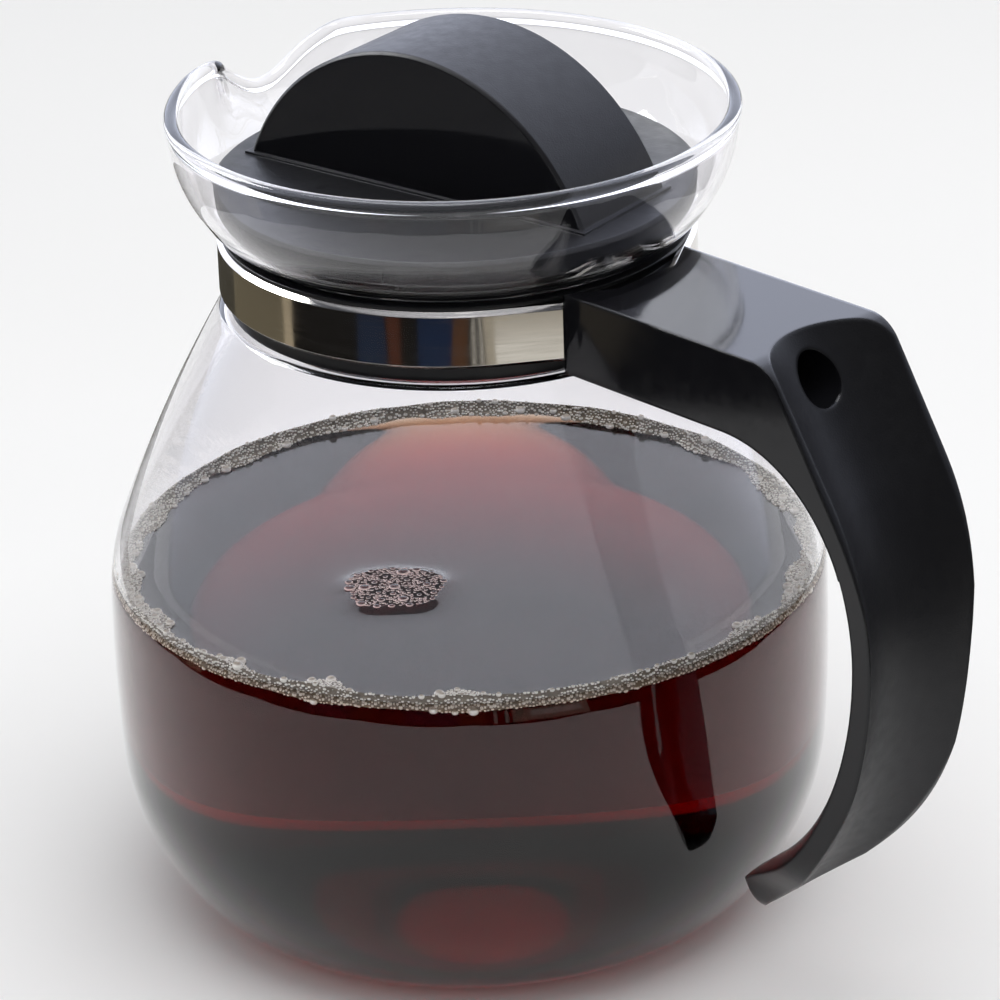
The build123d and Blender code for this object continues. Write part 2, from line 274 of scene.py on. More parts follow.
def lid_grain(tree):
    """The lid is grained all over but on the two flats of its grip."""
    turn = math.radians(GRIP_TURN)
    flats = facing(tree, (-math.sin(turn), math.cos(turn), 0), 0.9, 0.97, both_ways=True)
    return add(tree, "ShaderNodeMath", {0: 1.0, 1: flats}, operation="SUBTRACT").outputs[0]


# Materials, each named for what it is and how it was made

WET_INDEX = 1.335
DRY_INDEX = 1.47
COAT_INDEX = 1.31
COFFEE_DENSITY = 178.0
RIM_BLEND = 0.25
POLISHED_SHADE = 0.74
# Share of the mirror that polished faces facing sideways keep: a painted sheen favours faces that face up
SIDE_SHEEN_SHARE = 0.6
GRAINED_MIRROR = 0.33
GRAIN_DEPTH_SHARE = 0.5


def blown_glass():
    """Blown borosilicate: clear, with a faint waviness from the blowing. Where coffee lies behind
    it, it bends light as little as the coffee, and a coat keeps the shine of its outer face."""
    material, tree, shader = new_material("Blown clear glass")
    dry = above_coffee(tree, -0.5 * MM, 0.5 * MM)
    index = add(tree, "ShaderNodeMapRange", {"Value": dry, "To Min": WET_INDEX, "To Max": DRY_INDEX})
    coat = add(tree, "ShaderNodeMapRange", {"Value": dry, "To Min": 1.0, "To Max": 0.0})
    waves = add(tree, "ShaderNodeBump", {
        "Height": patches(tree, size_mm=38.0, detail=1.0), "Distance": 0.25 * MM, "Strength": 0.5,
    })
    fill(tree, shader, {
        "Base Color": linear("FDFCFE"), "Roughness": 0.0, "Transmission Weight": 1.0,
        "IOR": index.outputs["Result"], "Coat Weight": coat.outputs["Result"], "Coat IOR": COAT_INDEX,
        "Coat Roughness": 0.0, "Normal": waves.outputs["Normal"],
    })
    return material


def wetted_glass():
    """Glass wetted by coffee: the inner face vanishes where coffee lies against it."""
    material, tree, shader = new_material("Glass wetted by coffee")
    fill(tree, shader, {
        "Base Color": linear("FFFFFF"), "Roughness": 0.0, "IOR": 1.0, "Transmission Weight": 1.0,
    })
    return material


def brewed_coffee():
    """Filter coffee: amber where it is thin, dark red-brown where it is deep. Only its surface
    mirrors and bends light, because its sides lie against the glass."""
    material, tree, shader = new_material("Brewed coffee")
    ripples = add(tree, "ShaderNodeBump", {
        "Height": patches(tree, size_mm=26.0, detail=1.5), "Distance": 0.2 * MM, "Strength": 0.35,
    })
    fill(tree, shader, {
        "Base Color": linear("FFFFFF"), "Roughness": 0.0, "IOR": WET_INDEX, "Transmission Weight": 1.0,
        "Alpha": above_coffee(tree, -0.15 * MM, -0.1 * MM), "Normal": ripples.outputs["Normal"],
    })
    volume = add(tree, "ShaderNodeVolumeAbsorption", {
        "Color": (*settings().coffee_colour, 1.0), "Density": COFFEE_DENSITY,
    })
    output = next(node for node in tree.nodes if node.type == "OUTPUT_MATERIAL")
    tree.links.new(volume.outputs["Volume"], output.inputs["Volume"])
    return material


def foam_film(name, highlight_rim_colour, centre_colour, rim_start, mirror):
    """Foam bubbles: thin wet films, with a painted highlight that brightens them at the rims, and the
    colour of what lies below them painted in the middle.
    """
    material, tree, shader = new_material(name)
    # Painted highlight: the rim share mixes the middle colour towards the bright rim colour
    rim = add(tree, "ShaderNodeMapRange", {
        "Value": add(tree, "ShaderNodeAttribute", attribute_name="rim").outputs["Fac"],
        "From Min": rim_start, "From Max": rim_start + RIM_BLEND,
    })
    colour = add(tree, "ShaderNodeMix", {
        0: rim.outputs["Result"], 6: linear(centre_colour), 7: linear(highlight_rim_colour),
    }, data_type="RGBA")
    fill(tree, shader, {
        "Base Color": colour.outputs[2], "Roughness": 0.12, "IOR": 1.33, "Specular IOR Level": mirror,
    })
    return material


def foam_ground(name, dark, light):
    """What shows between the bubbles: coffee or finer foam, too ruffled to mirror the sky."""
    material, tree, shader = new_material(name)
    colour = add(tree, "ShaderNodeMix", {
        0: patches(tree, size_mm=1.5, detail=2.0), 6: linear(dark), 7: linear(light),
    }, data_type="RGBA")
    fill(tree, shader, {
        "Base Color": colour.outputs[2], "Roughness": 0.35, "IOR": WET_INDEX, "Specular IOR Level": 0.2,
    })
    return material


def black_moulding(name, grained, polish, edge_mm):
    """Injection-moulded ABS: polished flats that mirror, with a painted sheen that makes those facing up
    mirror more than those facing sideways, other faces spark-eroded to a fine grain, and edges that catch
    the light on the small radius a mould leaves.
    The grain is drawn 0.35 mm coarse, so that it can show."""
    material, tree, shader = new_material(name)
    mask = grained(tree)
    grained_colour = settings().moulding_colour
    polished_colour = [POLISHED_SHADE * part for part in grained_colour]
    colour = add(tree, "ShaderNodeMix", {
        0: mask, 6: (*polished_colour, 1.0), 7: (*grained_colour, 1.0),
    }, data_type="RGBA")
    roughness = add(tree, "ShaderNodeMix", {
        0: mask, 2: wandering(tree, 0.06, 0.10, size_mm=2.5, detail=2.0),
        3: wandering(tree, 0.38, 0.46, size_mm=2.5, detail=2.0),
    })
    # Painted sheen: polished faces that face up mirror more strongly than those facing sideways
    painted_top_sheen = facing(tree, (0, 0, 1), 0.3, 0.8)
    polished_mirror = add(tree, "ShaderNodeMix", {
        0: painted_top_sheen, 2: polish * SIDE_SHEEN_SHARE, 3: polish,
    })
    mirror = add(tree, "ShaderNodeMix", {0: mask, 2: polished_mirror.outputs[0], 3: GRAINED_MIRROR})
    depth = add(tree, "ShaderNodeMapRange", {"Value": mask, "To Min": 0.0, "To Max": GRAIN_DEPTH_SHARE})
    grain = add(tree, "ShaderNodeMath", {
        0: patches(tree, size_mm=0.35, detail=3.0), 1: depth.outputs["Result"],
    }, operation="MULTIPLY")
    rounded = add(tree, "ShaderNodeBevel", {"Radius": edge_mm * MM}, samples=6)
    relief = add(tree, "ShaderNodeBump", {
        "Height": grain.outputs[0], "Distance": 0.1 * MM, "Strength": 0.8,
        "Normal": rounded.outputs["Normal"],
    })
    fill(tree, shader, {
        "Base Color": colour.outputs[2], "Roughness": roughness.outputs[0], "IOR": 1.5,
        "Specular IOR Level": mirror.outputs[0], "Normal": relief.outputs["Normal"],
    })
    return material


def rolled_steel():
    """Bright rolled stainless strap: mirror polish with a faint rolling streak along the strip."""
    material, tree, shader = new_material("Bright rolled steel strap")
    place = add(tree, "ShaderNodeTexCoord").outputs["Object"]
    stretched = add(tree, "ShaderNodeMapping", {"Vector": place, "Scale": (0.05, 0.05, 1.0)})
    waves = add(tree, "ShaderNodeBump", {
        "Height": patches(tree, size_mm=22.0, detail=1.0), "Distance": 0.05 * MM, "Strength": 0.3,
    })
    fill(tree, shader, {
        "Base Color": linear("D8D4CE"), "Metallic": 1.0, "Normal": waves.outputs["Normal"],
        "Roughness": wandering(tree, 0.07, 0.13, size_mm=0.5, detail=3.0,
                               place=stretched.outputs["Vector"]),
    })
    return material


def soft_liner():
    """Moulded elastomer: dull black with a soft edge sheen."""
    material, tree, shader = new_material("Soft black liner")
    fill(tree, shader, {
        "Base Color": linear("131315"), "IOR": 1.5,
        "Roughness": wandering(tree, 0.3, 0.42, size_mm=1.2, detail=2.0),
    })
    return material


def plated_fastener():
    """Turned and pressed steel, zinc plated: grey with a dull, uneven shine."""
    material, tree, shader = new_material("Zinc plated steel")
    fill(tree, shader, {
        "Base Color": linear("8E8F90"), "Metallic": 1.0,
        "Roughness": wandering(tree, 0.22, 0.4, size_mm=0.8, detail=2.0),
    })
    return material


# Floor's fade into the backdrop, in metres from the jug

FADE_START, FADE_END = 0.5, 1.5
BACKDROP_COLOUR = "F4F5F6"


def pale_paper():
    """Matt studio paper, a little uneven, which the camera sees run into the backdrop."""
    material, tree, shader = new_material("Studio paper")
    paper = add(tree, "ShaderNodeValToRGB", {"Fac": patches(tree, size_mm=160.0, detail=2.0)})
    paper.color_ramp.elements[0].color = linear("F3F3F3")
    paper.color_ramp.elements[1].color = linear("F7F7F7")
    place = add(tree, "ShaderNodeTexCoord").outputs["Object"]
    distance = add(tree, "ShaderNodeVectorMath", {0: place}, operation="LENGTH").outputs["Value"]
    far = add(tree, "ShaderNodeMapRange", {
        "Value": distance, "From Min": FADE_START, "From Max": FADE_END,
    })
    fade = add(tree, "ShaderNodeMath", {
        0: far.outputs["Result"], 1: add(tree, "ShaderNodeLightPath").outputs["Is Camera Ray"],
    }, operation="MULTIPLY")
    colour = add(tree, "ShaderNodeMix", {
        0: fade.outputs[0], 6: paper.outputs["Color"], 7: linear("000000"),
    }, data_type="RGBA")
    fill(tree, shader, {
        "Base Color": colour.outputs[2], "Roughness": 0.9, "Specular IOR Level": 0.05,
        "Emission Color": linear(BACKDROP_COLOUR), "Emission Strength": fade.outputs[0],
    })
    return material


def glow(name, hex_colour, strength):
    """A surface that only gives light, for the panels that paint highlights and reflections."""
    material = bpy.data.materials.new(name)
    material.use_nodes = True
    tree = material.node_tree
    tree.nodes.clear()
    light = add(tree, "ShaderNodeEmission", {"Color": linear(hex_colour), "Strength": strength})
    add(tree, "ShaderNodeOutputMaterial", {"Surface": light.outputs["Emission"]})
    return material


# Helpers for meshes

def make_object(name, vertices, faces, materials):
    mesh = bpy.data.meshes.new(name)
    mesh.from_pydata([tuple(vertex) for vertex in vertices], [], faces)
    mesh.validate()
    for material in materials:
        mesh.materials.append(material)
    mesh.shade_smooth()
    item = bpy.data.objects.new(name, mesh)
    bpy.context.scene.collection.objects.link(item)
    return item


def ring(count, place):
    """A ring of points in metres; place gives the radius and height in millimetres at a turn."""
    points = []
    for index in range(count):
        turn = 2 * math.pi * index / count
        radius, z = place(turn)
        points.append((radius * math.cos(turn) * MM, radius * math.sin(turn) * MM, z * MM))
    return points


def middle(points):
    return tuple(sum(values) / len(points) for values in zip(*points))


def lathe(name, rings, materials, closed=True):
    """A skin through rings that all have the same number of points."""
    count = len(rings[0])
    vertices = [point for points in rings for point in points]
    faces = []
    for row in range(len(rings) - 1):
        for column in range(count):
            following = (column + 1) % count
            faces.append((row * count + column, row * count + following,
                          (row + 1) * count + following, (row + 1) * count + column))
    if closed:
        first_pole, last_pole = len(vertices), len(vertices) + 1
        last_row = (len(rings) - 1) * count
        vertices += [middle(rings[0]), middle(rings[-1])]
        for column in range(count):
            faces.append((first_pole, (column + 1) % count, column))
        for column in range(count):
            faces.append((last_pole, last_row + column, last_row + (column + 1) % count))
    return make_object(name, vertices, faces, materials)


def assign(node, material):
    """Gives a CAD node one material."""
    node.data.materials.clear()
    node.data.materials.append(material)


def round_edges(node, width_mm):
    """Rounds a CAD node's edges, as far as its shortest ones let it, and keeps its flats flat."""
    weld = node.modifiers.new("Weld", "WELD")
    weld.merge_threshold = WELD_DISTANCE * MM
    bevel = node.modifiers.new("Edge round", "BEVEL")
    bevel.width = width_mm * MM
    bevel.segments = EDGE_SEGMENTS
    bevel.limit_method = "ANGLE"
    bevel.angle_limit = math.radians(EDGE_ANGLE)
    flat = node.modifiers.new("Keep flats flat", "WEIGHTED_NORMAL")
    flat.mode = "FACE_AREA"
    flat.weight = FLAT_WEIGHT


# Shape of the glass

def outline(inset):
    """Points of the glass outline moved inwards by inset, and the centre of the bowl's arc."""
    x, z, heading = 0.0, inset, 0.0
    points = [(x, z)]
    for _, *sizes in GLASS_OUTLINE:
        if len(sizes) == 1:
            length = sizes[0]
            count = max(1, int(length / RUN_STEP))
            for _ in range(count):
                x += length / count * math.cos(heading)
                z += length / count * math.sin(heading)
                points.append((x, z))
            continue
        radius, degrees = sizes
        angle = math.radians(degrees)
        side = 1.0 if angle > 0 else -1.0
        radius -= side * inset
        count = max(LEAST_BEND_STEPS, int(radius * abs(angle) / BEND_STEP))
        centre_x = x - side * radius * math.sin(heading)
        centre_z = z + side * radius * math.cos(heading)
        for index in range(1, count + 1):
            now = heading + angle * index / count
            points.append((centre_x + side * radius * math.sin(now),
                           centre_z - side * radius * math.cos(now)))
        heading += angle
        x, z = points[-1]
    bowl = BOWL_RADIUS - inset
    return points, (x - bowl * math.sin(heading), z + bowl * math.cos(heading))


def inside_radius(height_mm):
    """Inner radius of the glass body at a height."""
    points, _ = outline(WALL)
    for (x0, z0), (x1, z1) in zip(points, points[1:]):
        if z0 <= height_mm <= z1 and z1 > z0:
            return x0 + (x1 - x0) * (height_mm - z0) / (z1 - z0)
    raise ValueError("height outside the glass body")


def hump(angle, spread):
    """A smooth hump, 1 at an angle of 0, that fades over about the spread."""
    return math.exp(-((angle / spread) ** 2))


def lip_pinch(angle):
    """The two pinches beside the pouring lip, by the angle from the lip."""
    return hump(angle - PINCH_ANGLE, PINCH_SPREAD) + hump(angle + PINCH_ANGLE, PINCH_SPREAD)


def from_lip(turn):
    """Angle in degrees from the pouring lip, which is on the -X side."""
    return math.degrees(turn) - 180


def glass_rings():
    """Rings of the whole glass skin: up the outside, over the rim's bead and down the inside."""
    outer, bowl_centre = outline(0.0)
    inner, _ = outline(WALL)
    drop = (BOWL_RADIUS - WALL) * math.cos(math.radians(BOWL_SLOPE + ROOT_TURN))
    root_z = bowl_centre[1] - drop
    neck_down = math.sqrt(BEAD ** 2 - (WALL / 2) ** 2)

    def bead_height(angle):
        return root_z + RIM_ABOVE_ROOT - LIP_DROP * hump(angle, LIP_SPREAD) + lip_pinch(angle)

    def wall_point(inset, share, angle):
        blend = share * share * (3 - 2 * share)
        down = drop * (1 - share)
        reach = LIP_REACH * hump(angle, REACH_SPREAD) - PINCH_IN * lip_pinch(angle)
        radius = bowl_centre[0] + math.sqrt((BOWL_RADIUS - inset) ** 2 - down ** 2) + blend * reach
        return radius, root_z + share * (bead_height(angle) - neck_down - root_z)

    def bead_point(roll, angle):
        radius, _ = wall_point(0.0, 1.0, angle)
        return radius - WALL / 2 + BEAD * math.cos(roll), bead_height(angle) + BEAD * math.sin(roll)

    rings = [ring(SEGMENTS, lambda turn: (max(radius, POLE_RADIUS), z)) for radius, z in outer[1:]]
    for step in range(1, WALL_STEPS + 1):
        rings.append(ring(SEGMENTS, lambda turn: wall_point(0.0, step / WALL_STEPS, from_lip(turn))))
    start = math.asin(-neck_down / BEAD)
    for step in range(1, BEAD_STEPS):
        roll = start + (math.pi - 2 * start) * step / BEAD_STEPS
        rings.append(ring(SEGMENTS, lambda turn: bead_point(roll, from_lip(turn))))
    for step in range(WALL_STEPS, 0, -1):
        rings.append(ring(SEGMENTS, lambda turn: wall_point(WALL, step / WALL_STEPS, from_lip(turn))))
    for radius, z in reversed(inner[1:]):
        rings.append(ring(SEGMENTS, lambda turn: (max(radius, POLE_RADIUS), z)))
    return rings


# Geometry Nodes

BUBBLE_INPUTS = (
    ("Spacing", "NodeSocketFloat", 0.0004), ("Large spacing", "NodeSocketFloat", 0.002),
    ("Small radius", "NodeSocketFloat", 0.0002), ("Middle radius", "NodeSocketFloat", 0.0003),
    ("Large radius", "NodeSocketFloat", 0.0009), ("Flatness", "NodeSocketFloat", 0.7),
    ("Seed", "NodeSocketInt", 3),
    ("Material", "NodeSocketMaterial", None), ("Ground", "NodeSocketMaterial", None),
)
MOST_POINTS_PER_SQUARE_METRE = 2.0e7
SMALL_ARE_COMMON = 1.8
ROOM_SHARE = 0.85
# Fine bubbles get this much more of the painted rim highlight
FINE_BUBBLE_EXTRA_HIGHLIGHT = 0.3
LARGE_ROUNDNESS, FINE_ROUNDNESS = 3, 1


def bubble_group():
    """Packs bubbles over a mesh: a few large ones, and fine ones in the room they leave."""
    group = bpy.data.node_groups.new("Pack bubbles", "GeometryNodeTree")
    interface = group.interface
    interface.new_socket("Geometry", in_out="INPUT", socket_type="NodeSocketGeometry")
    sockets = {}
    for name, kind, default in BUBBLE_INPUTS:
        socket = interface.new_socket(name, in_out="INPUT", socket_type=kind)
        if default is not None:
            socket.default_value = default
        sockets[name] = socket.identifier
    interface.new_socket("Geometry", in_out="OUTPUT", socket_type="NodeSocketGeometry")
    value = group.nodes.new("NodeGroupInput").outputs
    end = group.nodes.new("NodeGroupOutput")

    def scattered(spacing):
        return add(group, "GeometryNodeDistributePointsOnFaces", {
            "Mesh": value["Geometry"], "Distance Min": spacing, "Seed": value["Seed"],
            "Density Max": MOST_POINTS_PER_SQUARE_METRE,
        }, distribute_method="POISSON").outputs["Points"]

    def bubbles(points, roundness, least, most, extra_highlight):
        ball = add(group, "GeometryNodeMeshIcoSphere", {"Radius": 1.0, "Subdivisions": roundness})
        # Painted highlight: the rim value brightens a bubble towards its widest ring, away from its
        # upright axis
        rim = add(group, "ShaderNodeMath", {0: out_from_middle, 1: extra_highlight}, operation="ADD")
        marked = add(group, "GeometryNodeStoreNamedAttribute", {
            "Geometry": ball.outputs["Mesh"], "Name": "rim", "Value": rim.outputs[0],
        }, data_type="FLOAT", domain="POINT")
        chance = add(group, "FunctionNodeRandomValue", {"Seed": value["Seed"]}, data_type="FLOAT")
        uneven = add(group, "ShaderNodeMath", {0: chance.outputs[1], 1: SMALL_ARE_COMMON},
                     operation="POWER")
        size = add(group, "ShaderNodeMapRange", {
            "Value": uneven.outputs[0], "To Min": least, "To Max": most,
        }).outputs["Result"]
        height = add(group, "ShaderNodeMath", {0: size, 1: value["Flatness"]}, operation="MULTIPLY")
        scale = add(group, "ShaderNodeCombineXYZ", {0: size, 1: size, 2: height.outputs[0]})
        return add(group, "GeometryNodeInstanceOnPoints", {
            "Points": points, "Instance": marked.outputs["Geometry"], "Scale": scale.outputs[0],
        }).outputs["Instances"]

    place = add(group, "GeometryNodeInputPosition").outputs[0]
    level_part = add(group, "ShaderNodeVectorMath", {0: place, 1: (1, 1, 0)}, operation="MULTIPLY")
    out_from_middle = add(group, "ShaderNodeVectorMath", {0: level_part.outputs[0]},
                          operation="LENGTH").outputs["Value"]

    large_points = scattered(value["Large spacing"])
    near = add(group, "GeometryNodeProximity", {"Target": large_points}, target_element="POINTS")
    room = add(group, "ShaderNodeMath", {0: value["Large radius"], 1: ROOM_SHARE}, operation="MULTIPLY")
    covered = add(group, "ShaderNodeMath", {0: near.outputs["Distance"], 1: room.outputs[0]},
                  operation="LESS_THAN")
    fine_points = add(group, "GeometryNodeDeleteGeometry", {
        "Geometry": scattered(value["Spacing"]), "Selection": covered.outputs[0],
    }, domain="POINT").outputs["Geometry"]
    large = bubbles(large_points, LARGE_ROUNDNESS, value["Middle radius"], value["Large radius"], 0.0)
    fine = bubbles(fine_points, FINE_ROUNDNESS, value["Small radius"], value["Middle radius"],
                   FINE_BUBBLE_EXTRA_HIGHLIGHT)
    both = group.nodes.new("GeometryNodeJoinGeometry")
    group.links.new(large, both.inputs[0])
    group.links.new(fine, both.inputs[0])
    real = add(group, "GeometryNodeRealizeInstances", {"Geometry": both.outputs["Geometry"]})
    soft = add(group, "GeometryNodeSetShadeSmooth", {"Geometry": real.outputs["Geometry"]})
    painted = add(group, "GeometryNodeSetMaterial", {
        "Geometry": soft.outputs["Geometry"], "Material": value["Material"],
    })
    ground = add(group, "GeometryNodeSetMaterial", {
        "Geometry": value["Geometry"], "Material": value["Ground"],
    })
    whole = group.nodes.new("GeometryNodeJoinGeometry")
    group.links.new(painted.outputs["Geometry"], whole.inputs[0])
    group.links.new(ground.outputs["Geometry"], whole.inputs[0])
    group.links.new(whole.outputs["Geometry"], end.inputs["Geometry"])
    return group, sockets


def run_nodes(item, group, sockets, values):
    """Runs a node group on an object and keeps the result as its plain mesh."""
    modifier = item.modifiers.new("Scatter", "NODES")
    modifier.node_group = group
    for name, value in values.items():
        modifier[sockets[name]] = value
    depsgraph = bpy.context.evaluated_depsgraph_get()
    mesh = bpy.data.meshes.new_from_object(item.evaluated_get(depsgraph))
    item.modifiers.remove(modifier)
    old = item.data
    item.data = mesh
    bpy.data.meshes.remove(old)


# Pieces

class JUG_OT_glass(bpy.types.Operator):
    """Builds the glass with its drawn pouring lip"""
    bl_idname = "jug.build_glass"
    bl_label = "Build glass"

    def execute(self, context):
        rings = glass_rings()
        glass = lathe("glass_body", rings, [blown_glass(), wetted_glass()])
        level = settings().coffee_level
        wetted_slot = 1
        first_inner_row = len(rings) // 2
        for face in glass.data.polygons:
            row = min(face.vertices) // SEGMENTS
            if row >= first_inner_row and face.center.z < level:
                face.material_index = wetted_slot
        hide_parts("glass_jug")
        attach(glass, "jug")
        return {"FINISHED"}


def raft_reach(turn):
    """How far the raft's uneven edge lies out, as a share of the plain oval."""
    return (1.0 + RAFT_RIPPLE * math.sin(3 * turn + RAFT_RIPPLE_PHASE) + RAFT_RIPPLE * math.sin(5 * turn)
            - RAFT_SQUARENESS * math.cos(4 * turn))


def rise_by_raft(x, y):
    """Height by which the coffee's surface is drawn up to the raft's edge."""
    offset = Vector((x, y, 0)) - RAFT_CENTRE
    along, across = offset.dot(RAFT_ALONG) / RAFT_LENGTH, offset.dot(RAFT_ACROSS) / RAFT_WIDTH
    beyond = math.hypot(along, across) / raft_reach(math.atan2(across, along)) - 1.0
    return RAFT_RISE * math.exp(-max(beyond, 0.0) * RAFT_WIDTH / RAFT_RISE_FADE)


def coffee_profile(level):
    """Radius and height of each ring of the coffee, up its side and in over its surface, and 1 for
    those of the surface, which the raft can lift."""
    points, _ = outline(WALL - INTO_GLASS)
    edge = inside_radius(level) + INTO_GLASS
    profile = [(x, z, 0.0) for x, z in points if z < level - BELOW_EDGE and x > OFF_AXIS]
    profile.append((edge, level, 0.0))
    back = FIRST_RING_IN
    while back < edge - LAST_RING_RADIUS:
        profile.append((edge - back, level + MENISCUS_CLIMB * math.exp(-back / MENISCUS_FADE), 1.0))
        back += min(LARGEST_STEP, FIRST_STEP + STEP_GROWTH * back)
    return profile


class JUG_OT_coffee(bpy.types.Operator):
    """Fills the jug with coffee up to the set level"""
    bl_idname = "jug.build_coffee"
    bl_label = "Build coffee"

    def execute(self, context):
        rings = []
        for radius, z, free in coffee_profile(settings().coffee_level / MM):
            rings.append(ring(SEGMENTS, lambda turn: (
                radius, z + free * rise_by_raft(radius * math.cos(turn), radius * math.sin(turn)))))
        coffee = lathe("coffee", rings, [brewed_coffee()])
        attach(coffee, "jug")
        return {"FINISHED"}


def foam_strip(material):
    """The uneven strip along the glass on which the ring's bubbles gather, widest at the front: its
    rings of points run over its inner edge, shoulder and top, and down the glass to its foot."""
    level = settings().coffee_level / MM
    wall = inside_radius(level) - RING_INSET
    chooser = random.Random(RING_SEED)
    waves = [(chooser.randint(*WAVE_TURNS), chooser.uniform(0, 2 * math.pi), chooser.uniform(*WAVE_SIZES))
             for _ in range(RING_WAVES)]

    def wave(turn):
        return sum(size * math.sin(turns * turn + phase) for turns, phase, size in waves) / WAVE_DIVISOR

    def reach(turn):
        front = RING_MEAN_SHARE + RING_FRONT_SHARE * math.cos(turn + math.radians(90.0 - CAMERA_TURN))
        return RING_WIDTH * front * max(RING_LEAST_SHARE, 1.0 + RING_WAVE_SHARE * wave(turn))

    shoulder = level + RING_SHOULDER_HEIGHT + RING_SHOULDER_LIFT * RING_LIFT
    top = level + RING_TOP_HEIGHT
    foot = level - RING_FOOT_DEPTH
    return lathe("foam_ring", [
        ring(RING_POINTS, lambda turn: (wall - reach(turn), level + RING_EDGE_HEIGHT)),
        ring(RING_POINTS, lambda turn: (wall - RING_SHOULDER_IN * reach(turn), shoulder)),
        ring(RING_POINTS, lambda turn: (wall, top + RING_LIFT * (1.0 + RING_TOP_WAVE * wave(turn)))),
        ring(RING_POINTS, lambda turn: (wall, foot - RING_FOOT_WAVE * wave(turn))),
    ], [material], closed=False)


def foam_patch(material):
    """The flat oval, left of the middle of the coffee's surface, on which the raft's bubbles lie."""
    vertices = []
    for index in range(RAFT_POINTS):
        turn = 2 * math.pi * index / RAFT_POINTS
        reach = RAFT_GROUND_SHARE * raft_reach(turn)
        point = (RAFT_CENTRE + RAFT_ALONG * (RAFT_LENGTH * reach * math.cos(turn))
                 + RAFT_ACROSS * (RAFT_WIDTH * reach * math.sin(turn))) * MM
        vertices.append((point.x, point.y, settings().coffee_level + RAFT_RISE * MM))
    return make_object("foam_patch", vertices, [tuple(range(RAFT_POINTS))], [material])


class JUG_OT_foam(bpy.types.Operator):
    """Builds the ring of foam along the glass and the loose raft on the coffee"""
    bl_idname = "jug.build_foam"
    bl_label = "Build foam"

    def execute(self, context):
        group, sockets = bubble_group()
        ring_ground = foam_ground("Fine foam between bubbles", "52483D", "A19582")
        # Both foam films carry a painted rim highlight over a painted middle colour
        ring_film = foam_film("Foam ring film", highlight_rim_colour="FFFBF2", centre_colour="BDB1A0",
                              rim_start=0.62, mirror=0.7)
        foam_ring = foam_strip(ring_film)
        run_nodes(foam_ring, group, sockets, {
            **RING_BUBBLES, "Large radius": settings().foam_size,
            "Material": ring_film, "Ground": ring_ground,
        })
        raft_ground = foam_ground("Coffee between bubbles", "5A2A25", "8C5C54")
        raft_film = foam_film("Foam raft film", highlight_rim_colour="FFE2D8", centre_colour="46120F",
                              rim_start=0.66, mirror=0.3)
        patch = foam_patch(raft_film)
        run_nodes(patch, group, sockets, {
            **RAFT_BUBBLES, "Material": raft_film, "Ground": raft_ground,
        })
        for piece in (foam_ring, patch):
            if len(piece.data.polygons) < LEAST_FACES:
                raise RuntimeError("the foam group made too few bubbles")
            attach(piece, "jug")
        return {"FINISHED"}


class JUG_OT_mouldings(bpy.types.Operator):
    """Finishes the handle and the lid"""
    bl_idname = "jug.finish_mouldings"
    bl_label = "Finish mouldings"

    def execute(self, context):
        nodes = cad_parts
        assign(nodes["handle"], black_moulding("Black handle moulding", handle_grain, 0.5, edge_mm=1.0))
        lid_skin = black_moulding("Black lid moulding", lid_grain, 0.2, edge_mm=0.5)
        assign(nodes["lid_top"], lid_skin)
        assign(nodes["lid_base"], lid_skin)
        for name in ("handle", "lid_top"):
            round_edges(nodes[name], EDGE_WIDTHS[name])
        return {"FINISHED"}


class JUG_OT_clamp(bpy.types.Operator):
    """Finishes the neck's liner, the band and its fasteners"""
    bl_idname = "jug.finish_clamp"
    bl_label = "Finish clamp"

    def execute(self, context):
        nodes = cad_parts
        assign(nodes["neck_liner"], soft_liner())
        assign(nodes["clamp_band"], rolled_steel())
        steel = plated_fastener()
        for name in ("clamp_bridge", "clamp_screw", "screw_washer"):
            assign(nodes[name], steel)
        for name in ("neck_liner", "clamp_band"):
            round_edges(nodes[name], EDGE_WIDTHS[name])
        return {"FINISHED"}


# Stage, in metres and degrees

FLOOR_HALF_WIDTH = 4.0
FLOOR_GAP = 0.1 * MM
FLOOR_SECTOR_STEPS = 8

# World's strength for plain light, and for reflections away from and towards its lit side

PLAIN_STRENGTH = 0.66
LIT_SIDE = (0.1, 1.0, 0.42)
LIT_START, LIT_END = 0.15, 0.9
DIM_STRENGTH, LIT_STRENGTH = 0.10, 2.4
LEAST_THROUGH_GLASS = 0.9

# Painted reflections: floor round the jug, dark and in coloured stripes, that is only seen mirrored;
# stripes run from one direction to another

DARK_NEAR, DARK_FAR, DARK_HALF_TURN, DARK_HEIGHT_MM = 0.275, 1.2, 125, 0.8
STRIPE_NEAR, STRIPE_FAR = 0.275, 0.40
INNER_NEAR, INNER_FAR = 0.31, 0.37
STRIPE_HEIGHT_MM, STRIPE_STEP_MM = 1.6, 0.2
STRIPES = (
    (-180, -130, "45423A"), (-130, -88, "6A6353"), (-88, -82, "A89C86"), (-47, -34, "232B3C"),
    (-33, -27, "4A2C22"), (-19, -4, "1E2940"), (-4, 3, "503828"), (5, 6, "C8C4BC"), (8, 9, "C8C4BC"),
    (10, 31, "A9A294"),
)
INNER_STRIPE = (15, 29, "E6E4DE")

# Panels that only reflections see, as painted highlights and a painted dark reflection, and the lamp

# The overhead and left panels are painted highlights: they glow only in reflections
OVERHEAD_PLACE, OVERHEAD_SIZE, OVERHEAD_STRENGTH = (-0.15, 0.0, 1.2), (0.9, 0.5), 5.0
LEFT_PLACE, LEFT_SIZE, LEFT_STRENGTH = (-1.0, 0.4, 0.9), (0.6, 0.6), 18.0
FRONT_PLACE, FRONT_SIZE = (0, -0.95, 0.45), (3.6, 1.3)
